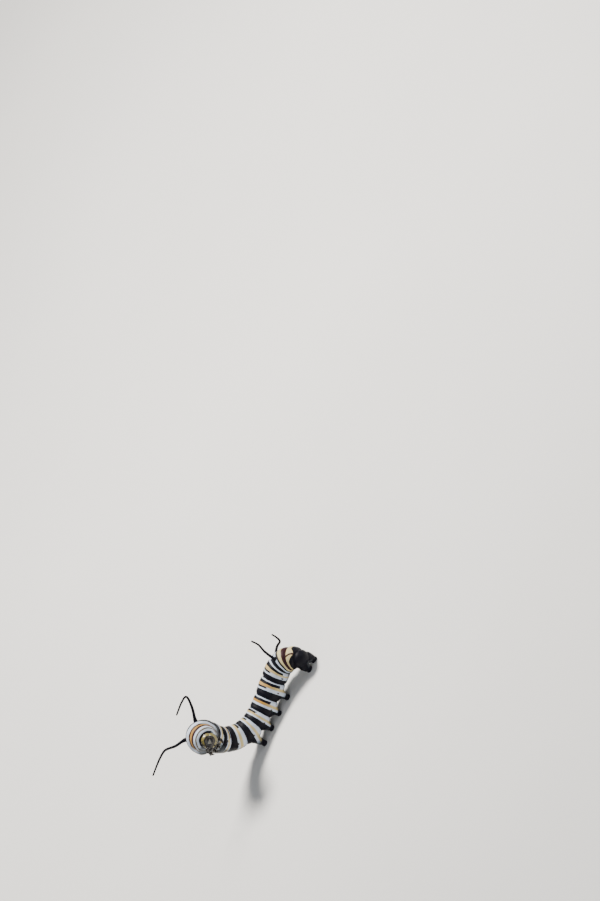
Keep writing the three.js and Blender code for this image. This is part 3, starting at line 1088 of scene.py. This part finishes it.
bmesh.ops.recalc_face_normals(skin, faces=skin.faces)
surface = BVHTree.FromBMesh(skin)
layers = {name: skin.verts.layers.float[name] for name in MARKS}
spots = [Spot(face, layers) for face in skin.faces]
FLESH_NODES = [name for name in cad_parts
               if name.split("_")[0] in ("abdomen", "thorax", "proleg", "clasper", "filament")]
make_piece("banded_skin", skin, skin_finish, FLESH_NODES)

# %% [markdown]
# ## The head
#
# The head of a larva is one hard round capsule, pushed a little way into its collar. Two lobes meet in a
# groove over the crown. Below the groove a pale triangle, the front plate, runs down to the mouth between
# fine seams, and each lobe carries one yellow arch inside another. The capsule could be sculpted, but an
# icosphere whose points are carried by a formula gives an even fine mesh with no pole in the face, and
# the same formula places all that stands on the head. Each point keeps the number of the arch it lies on,
# for the finish.

# %% Where the head is and how it is turned
HEAD_PLACE = 38.0
HEAD_LIFT, HEAD_SWING, HEAD_LEAN = math.radians(30), math.radians(24), math.radians(26)
HEAD_HALF = Vector((1.78, 1.38, 1.72))
JAW_WIDTH = 0.74
CROWN_GROOVE_DEPTH = 0.07
CROWN_GROOVE_WIDTH = 0.16
FACE_FLATTENING = 0.12

head_centre = axis_point(HEAD_PLACE)
head_forward, head_up, head_left = frame_at(HEAD_PLACE)
lift = Matrix.Rotation(-HEAD_LIFT, 3, head_left)
head_forward, head_up = lift @ head_forward, lift @ head_up
swing = Matrix.Rotation(-HEAD_SWING, 3, head_up)
head_forward, head_left = swing @ head_forward, swing @ head_left
lean = Matrix.Rotation(-HEAD_LEAN, 3, head_forward)
head_up, head_left = lean @ head_up, lean @ head_left
print("the face looks along", [round(c, 2) for c in head_forward])


def head_form(way):
    """Carry a direction from the head's middle, left, forward and up, to its place on the shell."""
    x, y, z = way
    low = min(max(-z, 0.0), 1.0)
    width = 1 + (JAW_WIDTH - 1) * low * low
    groove = CROWN_GROOVE_DEPTH * bell(x, CROWN_GROOVE_WIDTH) * smoothstep(-0.1, 0.7, z)
    face = 1 - FACE_FLATTENING * y if y > 0 else 1.0
    return Vector((x * width * HEAD_HALF.x,
                   (y * face - groove * max(y, 0.0)) * HEAD_HALF.y,
                   (z - groove * max(z, 0.0)) * HEAD_HALF.z))


def from_head(place):
    return head_centre + head_left * place.x + head_forward * place.y + head_up * place.z


# %% The head's seams and arches
FRONT_APEX = 0.30
FRONT_FOOT = (0.30, -0.40)
SEAM_DEPTH = 0.05
SEAM_WIDTH = 0.026
SIDE_PLATE = 0.12
SIDE_SEAM = 0.6
MOUTH_END = (0.42, 0.34)
LIP_SEAM = 0.7
LIP_SEAM_END = (0.40, 0.32)
LIP_SEAM_DROP = 0.16
ARCH_MIDDLE = -0.05
ARCH_CLOSING = 0.42


def beside_front_plate(x, z):
    """How far outside the slanting edge of the front plate a place on the face is."""
    run, drop = FRONT_FOOT[0], FRONT_APEX - FRONT_FOOT[1]
    return (abs(x) * drop + (z - FRONT_APEX) * run) / math.hypot(run, drop)


def seam_depth(x, z):
    """How deep the fine seams of the face are cut at a place."""
    beside = beside_front_plate(x, z)
    on_plate = smoothstep(FRONT_FOOT[1] - 0.04, FRONT_FOOT[1] + 0.02, z)
    on_plate *= smoothstep(0.02, -0.03, z - FRONT_APEX)
    crown = bell(x, SEAM_WIDTH) * smoothstep(-0.02, 0.04, z - FRONT_APEX)
    slant = bell(beside, SEAM_WIDTH) * on_plate
    outer = SIDE_SEAM * bell(beside - SIDE_PLATE, SEAM_WIDTH) * on_plate
    mouth = bell(z - FRONT_FOOT[1], SEAM_WIDTH) * smoothstep(*MOUTH_END, abs(x))
    lip = LIP_SEAM * bell(z - FRONT_FOOT[1] + LIP_SEAM_DROP, SEAM_WIDTH) * smoothstep(*LIP_SEAM_END, abs(x))
    return SEAM_DEPTH * max(crown, slant, outer, mouth, lip)


def arch_number(way):
    """0 in the middle of the face, 1 at its rim, and over 1 behind."""
    x, y, z = way
    if z > ARCH_MIDDLE:
        number = math.hypot(x, (z - ARCH_MIDDLE) / (1 - ARCH_MIDDLE))
    else:
        number = abs(x) / (1 - ARCH_CLOSING * (ARCH_MIDDLE - z))
    return number if y > 0 else 2 - number


print("the arch number on the crown is", arch_number((0, 0, 1)))

# %% The head capsule
HEAD_SUBDIVISIONS = 6
SHELL_INSET = 0.985
PITS = ((9, 1.0), (23, 0.5))
PIT_DEPTH = 0.012
FRONT_PLATE_SINK = 0.03


def make_head():
    bm = bmesh.new()
    bmesh.ops.create_icosphere(bm, subdivisions=HEAD_SUBDIVISIONS, radius=1.0)
    arch = bm.verts.layers.float.new("arch")
    plate = bm.verts.layers.float.new("plate")
    for vert in bm.verts:
        way = vert.co.normalized()
        place = head_form(way) * SHELL_INSET
        inside = smoothstep(0.03, -0.06, beside_front_plate(way.x, way.z)) if way.y > 0 else 0.0
        inside *= smoothstep(FRONT_FOOT[1] - 0.02, FRONT_FOOT[1] + 0.10, way.z)
        pits = sum(noise.noise(way * scale) * height for scale, height in PITS)
        sink = FRONT_PLATE_SINK * inside + PIT_DEPTH * pits
        if way.y > 0:
            sink += seam_depth(way.x, way.z)
        vert[arch] = arch_number(way)
        vert[plate] = inside
        vert.co = from_head(place - way * sink)
    return bm


head_bm = make_head()
print("the head capsule has", len(head_bm.faces), "faces")

# %% Head finish
HEAD_BLACK = (0.005, 0.004, 0.006)
# The arches and the front plate are far dimmer than their own colours: painted shade over the face.
SHADED_ARCH_YELLOW = (0.20, 0.165, 0.045)
SHADED_ARCH_DIM = (0.060, 0.044, 0.020)
SHADED_PLATE_PALE = (0.20, 0.19, 0.155)
ARCHES = [(0.0, 0.40, HEAD_BLACK), (0.40, 0.47, SHADED_ARCH_DIM), (0.47, 0.66, HEAD_BLACK),
          (0.66, 0.94, SHADED_ARCH_YELLOW), (0.94, 2.0, HEAD_BLACK)]
PLATE_EDGE = [(0.2, 0.0), (0.9, 1.0)]
BLOTCH = [(0.35, (0.72, 0.72, 0.72)), (0.62, (1.0, 1.0, 1.0))]


def make_head_finish():
    finish, tree = new_finish("head_shell", Roughness=0.3, Specular_IOR_Level=0.4, Coat_Weight=0.35,
                              Coat_Roughness=0.12)
    half = (attribute(tree, "arch") + wander(tree, 1500.0, 0.10)) * 0.5
    colour = ramp(half, edges([(start / 2, end / 2, shade) for start, end, shade in ARCHES], 0.012))
    colour = mix_colour(ramp(attribute(tree, "plate"), PLATE_EDGE), colour, SHADED_PLATE_PALE)
    connect(tree, Base_Color=shaded(colour, ramp(grain(tree, 3000.0, 4.0, 0.6), BLOTCH)),
            Normal=bump(grain(tree, 9000.0, 3.0, 0.6), 0.008),
            Roughness=ramp(grain(tree, 2500.0), [(0.3, 0.22), (0.7, 0.40)]))
    return finish


head_finish = make_head_finish()
make_piece("head_shell", head_bm, head_finish, ["head_capsule"])

# %% [markdown]
# ## Eyes, mouth and feelers
#
# A larva has no big eyes, but six glassy beads low on each side of the head, set in an arc with one bead
# apart. Between them hang a notched upper lip, two toothed jaws, a pair of small three-jointed feelers,
# two pairs of palps and the spinneret that lets out silk. All are hard and dark. The rounded ones start
# as spheres that are stretched and notched, the jointed ones as tubes along a short thread.

# %% Horn finish
HORN_BLACK = (0.005, 0.004, 0.005)
HORN_BROWN = (0.020, 0.012, 0.009)
EYE_BLACK = (0.003, 0.003, 0.003)
EYE_BROWN = (0.010, 0.007, 0.005)
MEMBRANE = (0.13, 0.11, 0.08)


def make_horn_finish(name, dark, light, roughness=0.25, coat=0.4):
    finish, tree = new_finish(name, Roughness=roughness, Specular_IOR_Level=0.4, Coat_Weight=coat,
                              Coat_Roughness=0.08)
    cloud = ramp(grain(tree, 2200.0, 3.0), [(0.35, dark), (0.75, light)])
    connect(tree, Base_Color=mix_colour(attribute(tree, "membrane"), cloud, MEMBRANE),
            Normal=bump(grain(tree, 9000.0, 3.0, 0.6), 0.006))
    return finish


horn_finish = make_horn_finish("black_horn", HORN_BLACK, HORN_BROWN)
eye_finish = make_horn_finish("eye_glass", EYE_BLACK, EYE_BROWN, roughness=0.05, coat=1.0)
print("two horn finishes")

# %% Out from the head
OUTER_SHELL = 1.02


def out_from_head(way, lift):
    """A place so far above the shell, and the way out there."""
    way = Vector(way).normalized()
    place = from_head(head_form(way) * SHELL_INSET)
    out = (from_head(head_form(way) * OUTER_SHELL) - head_centre).normalized()
    return place + out * lift, out


def facing(place, out):
    """A matrix that puts Z along the way out at a place."""
    return Matrix.Translation(place) @ out.to_track_quat("Z", "Y").to_matrix().to_4x4()


print("the crown is at", [round(c, 2) for c in out_from_head((0, 0, 1), 0)[0]], "mm")

# %% Eyes
EYE_RADIUS = 0.095
EYE_FINENESS = 3
EYE_SINK = 0.02
EYE_WAYS = [(0.78, 0.60, -0.05), (0.86, 0.50, -0.12), (0.89, 0.39, -0.24), (0.85, 0.33, -0.38),
            (0.74, 0.56, -0.36), (0.93, 0.16, -0.33)]
for side, sign in SIDES:
    eyes = bmesh.new()
    for x, y, z in EYE_WAYS:
        place, out = out_from_head((sign * x, y, z), -EYE_SINK)
        bmesh.ops.create_icosphere(eyes, subdivisions=EYE_FINENESS, radius=EYE_RADIUS,
                                   matrix=facing(place, out))
    make_piece("eyes_" + side, eyes, eye_finish, ["eye_" + side])

# %% Upper lip and jaws
LIP_HALF = (0.46, 0.17, 0.27)
LIP_NOTCH_DEPTH = 0.55
LIP_NOTCH_WIDTH = 0.14
LIP_BEND = 0.35
JAW_HALF = (0.33, 0.30, 0.38)
JAW_THINNING = 0.6
TOOTH_COUNT = 5
TOOTH_DEPTH = 0.09
KNOB_FINENESS = 4


def add_knob(bm, way, shift, half, shape):
    """A sphere stretched to half sizes, shaped by a formula and set beside a place on the head."""
    centre = head_form(Vector(way).normalized()) + Vector(shift)
    ball = bmesh.ops.create_icosphere(bm, subdivisions=KNOB_FINENESS, radius=1.0)["verts"]
    for vert in ball:
        local = shape(vert.co.copy())
        place = centre + Vector([c * size for c, size in zip(local, half)])
        vert.co = from_head(place)


def lip_shape(p):
    """A bent plate, cut by a notch in the middle of its lower edge."""
    p.z += LIP_NOTCH_DEPTH * bell(p.x, LIP_NOTCH_WIDTH) * smoothstep(0.1, -0.9, p.z)
    p.y -= LIP_BEND * p.x * p.x
    return p


def jaw_shape(p):
    """A thick shell that narrows to a row of teeth."""
    low = smoothstep(0.2, -1.0, p.z)
    p.y *= 1 - JAW_THINNING * low
    teeth = abs(math.sin(p.x * TOOTH_COUNT * math.pi / 2))
    p.z += TOOTH_DEPTH / JAW_HALF[2] * (1 - teeth) * low
    return p


lip = bmesh.new()
add_knob(lip, (0, 0.55, -0.84), (0, 0.16, 0.17), LIP_HALF, lip_shape)
make_piece("upper_lip", lip, horn_finish, ["labrum"])
for side, sign in SIDES:
    jaw = bmesh.new()
    add_knob(jaw, (sign * 0.3, 0.45, -0.84), (0, 0.10, -0.26), JAW_HALF, jaw_shape)
    make_piece("jaw_" + side, jaw, horn_finish, ["mandible_" + side])

# %% Jointed tubes
FEELER_JOINTS = (0.36, 0.72)
FEELER = {"length": 0.74, "root": 0.17, "tip": 0.06}
PALP = {"length": 0.50, "root": 0.13, "tip": 0.05}
SPINNERET = {"length": 0.42, "root": 0.10, "tip": 0.03}
PALP_JOINTS = (0.45, 0.75)
SPINNERET_JOINTS = (0.5,)
JOINT_WIDTH = 0.022
JOINT_PINCH = 0.2
JOINT_EDGE = (0.45, 0.9)
FEELER_STEPS = 44
FEELER_SIDES = 20
PALP_SIDES = 16


def joint_pinch(share, joints):
    return max(bell(share - joint, JOINT_WIDTH) for joint in joints)


def jointed_tube(bm, points, shape, joints, sides):
    """A tube that steps down at each joint and shows pale membrane there."""
    def radius(share, angle):
        step = sum(1 for joint in joints if share > joint) / (len(joints) + 1)
        size = shape["root"] + (shape["tip"] - shape["root"]) * (0.5 * share + 0.5 * step)
        size *= 1 - JOINT_PINCH * joint_pinch(share, joints)
        return size * math.sqrt(max(1 - max(share - 0.96, 0.0) / 0.04, 0.0) + 0.02)

    layer = bm.verts.layers.float.get("membrane") or bm.verts.layers.float.new("membrane")
    verts = thread_tube(bm, points, sides, radius)
    finder = nearest_finder(points)
    for vert in verts:
        share = finder.find(vert.co)[1] / (len(points) - 1)
        vert[layer] = smoothstep(*JOINT_EDGE, joint_pinch(share, joints))


def head_thread(way, aim, length):
    """A short thread out of the head that bends over towards an aim."""
    start, out = out_from_head(way, -0.06)
    aim_way = (head_left * aim[0] + head_forward * aim[1] + head_up * aim[2]).normalized()
    middle = start + out * length * 0.45
    end = middle + (out * 0.3 + aim_way * 0.7).normalized() * length * 0.55
    return thread([start, middle, end], FEELER_STEPS)


print("a feeler is", FEELER["length"], "mm long")

# %% Feelers, palps and spinneret
for side, sign in SIDES:
    feeler = bmesh.new()
    points = head_thread((sign * 0.62, 0.52, -0.55), (sign * 0.1, 1.0, -0.25), FEELER["length"])
    jointed_tube(feeler, points, FEELER, FEELER_JOINTS, FEELER_SIDES)
    make_piece("feeler_" + side, feeler, horn_finish, ["antenna_" + side])

palps = bmesh.new()
for sign in (1, -1):
    for way, aim in (((sign * 0.34, 0.16, -0.93), (sign * -0.1, 0.7, -0.5)),
                     ((sign * 0.13, 0.05, -0.99), (0.0, 0.7, -0.6))):
        jointed_tube(palps, head_thread(way, aim, PALP["length"]), PALP, PALP_JOINTS, PALP_SIDES)
points = head_thread((0, 0.0, -1), (0, 0.6, -0.8), SPINNERET["length"])
jointed_tube(palps, points, SPINNERET, SPINNERET_JOINTS, PALP_SIDES)
make_piece("palps_and_spinneret", palps, horn_finish)

# %% [markdown]
# ## Jointed legs
#
# Three pairs of short hard legs stand under the three segments behind the head. Each has a broad hip, three
# joints that grow thinner, and one curved claw. The black shells of the joints slide into each other over
# pale membrane. A leg could be a stack of cones, but one tube along the route that the solid leg takes,
# pinched at the joints, leaves no gaps.

# %% Jointed legs
LEG = {"length": 1.75, "root": 0.44, "tip": 0.12}
LEG_SIDE = 0.95
LEG_HIP = 0.7
LEG_ROUTE = [(0.45, 0.05, 0.18), (0.85, 0.22, 0.14), (1.08, 0.44, -0.04)]
LEG_JOINTS = (0.30, 0.54, 0.78)
HARD_LEG_STEPS = 80
HARD_LEG_SIDES = 28
CLAW_LENGTH = 0.22
CLAW_RADIUS = 0.085
CLAW_TIP = 0.006


def add_leg(bm, segment, sign):
    s = middles[NAMES.index(segment)]
    forward, up, left = frame_at(s)
    hip = body_point(s, -LEG_HIP * BELLY_FLATTENING * along(s, RADIUS), sign * LEG_SIDE)
    points = [hip]
    for down, ahead, out in LEG_ROUTE:
        points.append(hip + (forward * ahead - up * down + left * (sign * out)) * LEG["length"])
    route = thread(points, HARD_LEG_STEPS)
    jointed_tube(bm, route, LEG, LEG_JOINTS, HARD_LEG_SIDES)
    end, way = route[-3], (route[-1] - route[-4]).normalized()
    inward = (forward * 0.8 - left * sign * 0.5 - up * 0.1).normalized()
    claw = [end, end + way * CLAW_LENGTH * 0.5, end + (way * 0.7 + inward * 0.35) * CLAW_LENGTH,
            end + (way * 0.75 + inward * 0.75) * CLAW_LENGTH]
    thread_tube(bm, thread(claw, 16), 12,
                lambda share, angle: CLAW_RADIUS * (1 - share) ** 0.7 + CLAW_TIP)


for n in (1, 2, 3):
    for side, sign in SIDES:
        leg = bmesh.new()
        add_leg(leg, "thorax_%d" % n, sign)
        make_piece("jointed_leg_%d_%s" % (n, side), leg, horn_finish, ["leg_%d_%s" % (n, side)])

# %% [markdown]
# ## Breathing holes
#
# Low on each side runs a row of nine small black ovals, the holes that the animal breathes through. Each
# has a raised rim round a low plate. A rim could be a torus, and spinning a small circle about an axis
# makes one with a closed seam. A ray shot from outside at the axis finds the skin.

# %% Breathing holes
HOLE_ANGLE = 0.58 * math.pi
HOLE_PLACE = 0.55
HOLE_RADIUS = 0.13
HOLE_STRETCH = 1.55
RIM_RADIUS = 0.035
RIM_SIDES = 8
RIM_STEPS = 28
RIM_LIFT = 0.005
PLATE_FLATNESS = 0.15
RAY_START = 1.0
HOLE_SEGMENTS = (12, 9, 8, 7, 6, 5, 4, 3, 2)


def add_hole(bm, s, sign):
    angle = sign * HOLE_ANGLE
    outside = trunk_point(s, angle, trunk_radius(s, abs(angle)) + RAY_START)
    place, normal = surface.ray_cast(outside, (axis_point(s) - outside).normalized())[:2]
    forward = frame_at(s)[0]
    across = (forward - normal * forward.dot(normal)).normalized()
    turned = Matrix((across, normal.cross(across), normal)).transposed().to_4x4()
    stretch = Matrix.Diagonal((1.0, HOLE_STRETCH, 1.0, 1.0))
    ring = Matrix.Translation((HOLE_RADIUS, 0, 0)) @ Matrix.Rotation(math.pi / 2, 4, "X")
    loop = bmesh.ops.create_circle(bm, segments=RIM_SIDES, radius=RIM_RADIUS, matrix=ring)["verts"]
    loop_edges = list(dict.fromkeys(edge for vert in loop for edge in vert.link_edges))
    bmesh.ops.spin(bm, geom=loop + loop_edges, axis=(0, 0, 1), cent=(0, 0, 0), steps=RIM_STEPS,
                   angle=2 * math.pi, use_merge=True)
    rim = list(dict.fromkeys(vert for face in bm.faces for vert in face.verts if not vert.tag))
    plate = bmesh.ops.create_uvsphere(bm, u_segments=24, v_segments=8, radius=HOLE_RADIUS)["verts"]
    bmesh.ops.scale(bm, vec=(1, 1, PLATE_FLATNESS), verts=plate)
    matrix = Matrix.Translation(place + normal * RIM_LIFT) @ turned @ stretch
    bmesh.ops.transform(bm, matrix=matrix, verts=rim + plate)
    for vert in rim + plate:
        vert.tag = True


holes = bmesh.new()
for i in HOLE_SEGMENTS:
    s = FOLDS[i] + (FOLDS[i + 1] - FOLDS[i]) * HOLE_PLACE
    for sign in (1, -1):
        add_hole(holes, s, sign)
make_piece("breathing_holes", holes, horn_finish)

# %% [markdown]
# ## Bristles
#
# The skin looks bare, but under a lens it carries thousands of fine short bristles, denser on the soft
# legs and the last segments, and the head has a few long ones. Particle hair would be lost in the export,
# so each is a thin three-sided cone that leans back along the body. A bristle takes its colour from the
# skin at its root, so it keeps the marks of its root and wears the same finish. Their map, OFBake, places
# each one as a tiny patch at its root on an unrolled skin: along the body one way and round it the other.

# %% Bristle helpers
BRISTLE_RADIUS = 0.009
BRISTLE_TIP = 0.002
BRISTLE_ROOT = 0.02
PATCH = 0.0015


def add_bristle(bm, map_layer, root, way, length, place_on_map, marks):
    """One bristle. Place on map is its root's place on the unrolled skin, and marks are the skin's there."""
    matrix = facing(root + way * (length / 2 - BRISTLE_ROOT), way)
    made = bmesh.ops.create_cone(bm, cap_ends=True, segments=3, radius1=BRISTLE_RADIUS, radius2=BRISTLE_TIP,
                                 depth=length, matrix=matrix)["verts"]
    for vert in made:
        for name, value in marks.items():
            vert[bm.verts.layers.float[name]] = value
    for face in {face for vert in made for face in vert.link_faces}:
        for n, loop in enumerate(face.loops):
            corner = Vector((math.cos(n * 2.1), math.sin(n * 2.1))) * PATCH
            loop[map_layer].uv = Vector(place_on_map) + corner


def new_bristles(marks):
    """An empty bmesh with the bristle map and a layer for each mark."""
    bm = bmesh.new()
    for name in marks:
        bm.verts.layers.float.new(name)
    return bm, bm.loops.layers.uv.new("OFBake")


def jitter(reach):
    return Vector([random.uniform(-1, 1) for _ in range(3)]) * reach


print("a bristle is", 2 * BRISTLE_RADIUS, "mm thick at its root")

# %% Bristles on the skin
BRISTLE_COUNT = 2600
BRISTLE_LENGTH = (0.10, 0.26)
FOOT_BRISTLE_LENGTH = (0.20, 0.42)
BRISTLE_LEAN = 0.55
BRISTLE_JITTER = 0.25
BRISTLE_CLEARANCE = 0.05
FOOT_CROWDING = 2.5

bristles, bristle_map = new_bristles(MARKS)
weights = [spot.area * (1 + FOOT_CROWDING * spot.marks["foot"]) for spot in spots]
for spot in random.choices(spots, weights, k=BRISTLE_COUNT):
    if spot.marks["filament"] > 0.05:
        continue
    s = nearest_place(spot.place, spot.guess)
    way = (spot.normal - frame_at(s)[0] * BRISTLE_LEAN + jitter(BRISTLE_JITTER)).normalized()
    length = random.uniform(*(FOOT_BRISTLE_LENGTH if spot.marks["foot"] > 0.2 else BRISTLE_LENGTH))
    if (spot.place + way * length).z < BRISTLE_CLEARANCE:
        continue
    on_map = (0.02 + 0.96 * s / NECK_END, 0.5 + 0.48 * around_share(spot.place, s))
    add_bristle(bristles, bristle_map, spot.place, way, length, on_map, spot.marks)
make_piece("fine_bristles", bristles, skin_finish)

# %% Bristles on the head
HEAD_BRISTLE_COUNT = 70
HEAD_BRISTLE_LENGTH = (0.18, 0.45)
HEAD_BRISTLE_LEAN = 0.3
HEAD_BRISTLE_JITTER = 0.2
FACE_RIM = 0.92

head_bristles, head_map = new_bristles(("arch", "plate"))
for _ in range(HEAD_BRISTLE_COUNT):
    x, z = random.uniform(-0.92, 0.92), random.uniform(-0.75, 0.9)
    if x * x + z * z > FACE_RIM:
        continue
    way = Vector((x, math.sqrt(1 - x * x - z * z), z))
    root, out = out_from_head(way, 0.0)
    slant = (out + head_forward * HEAD_BRISTLE_LEAN + jitter(HEAD_BRISTLE_JITTER)).normalized()
    on_map = (0.5 + 0.45 * x, 0.5 + 0.45 * z)
    marks = {"arch": arch_number(way), "plate": 0.0}
    add_bristle(head_bristles, head_map, root, slant, random.uniform(*HEAD_BRISTLE_LENGTH), on_map, marks)
make_piece("head_bristles", head_bristles, head_finish)
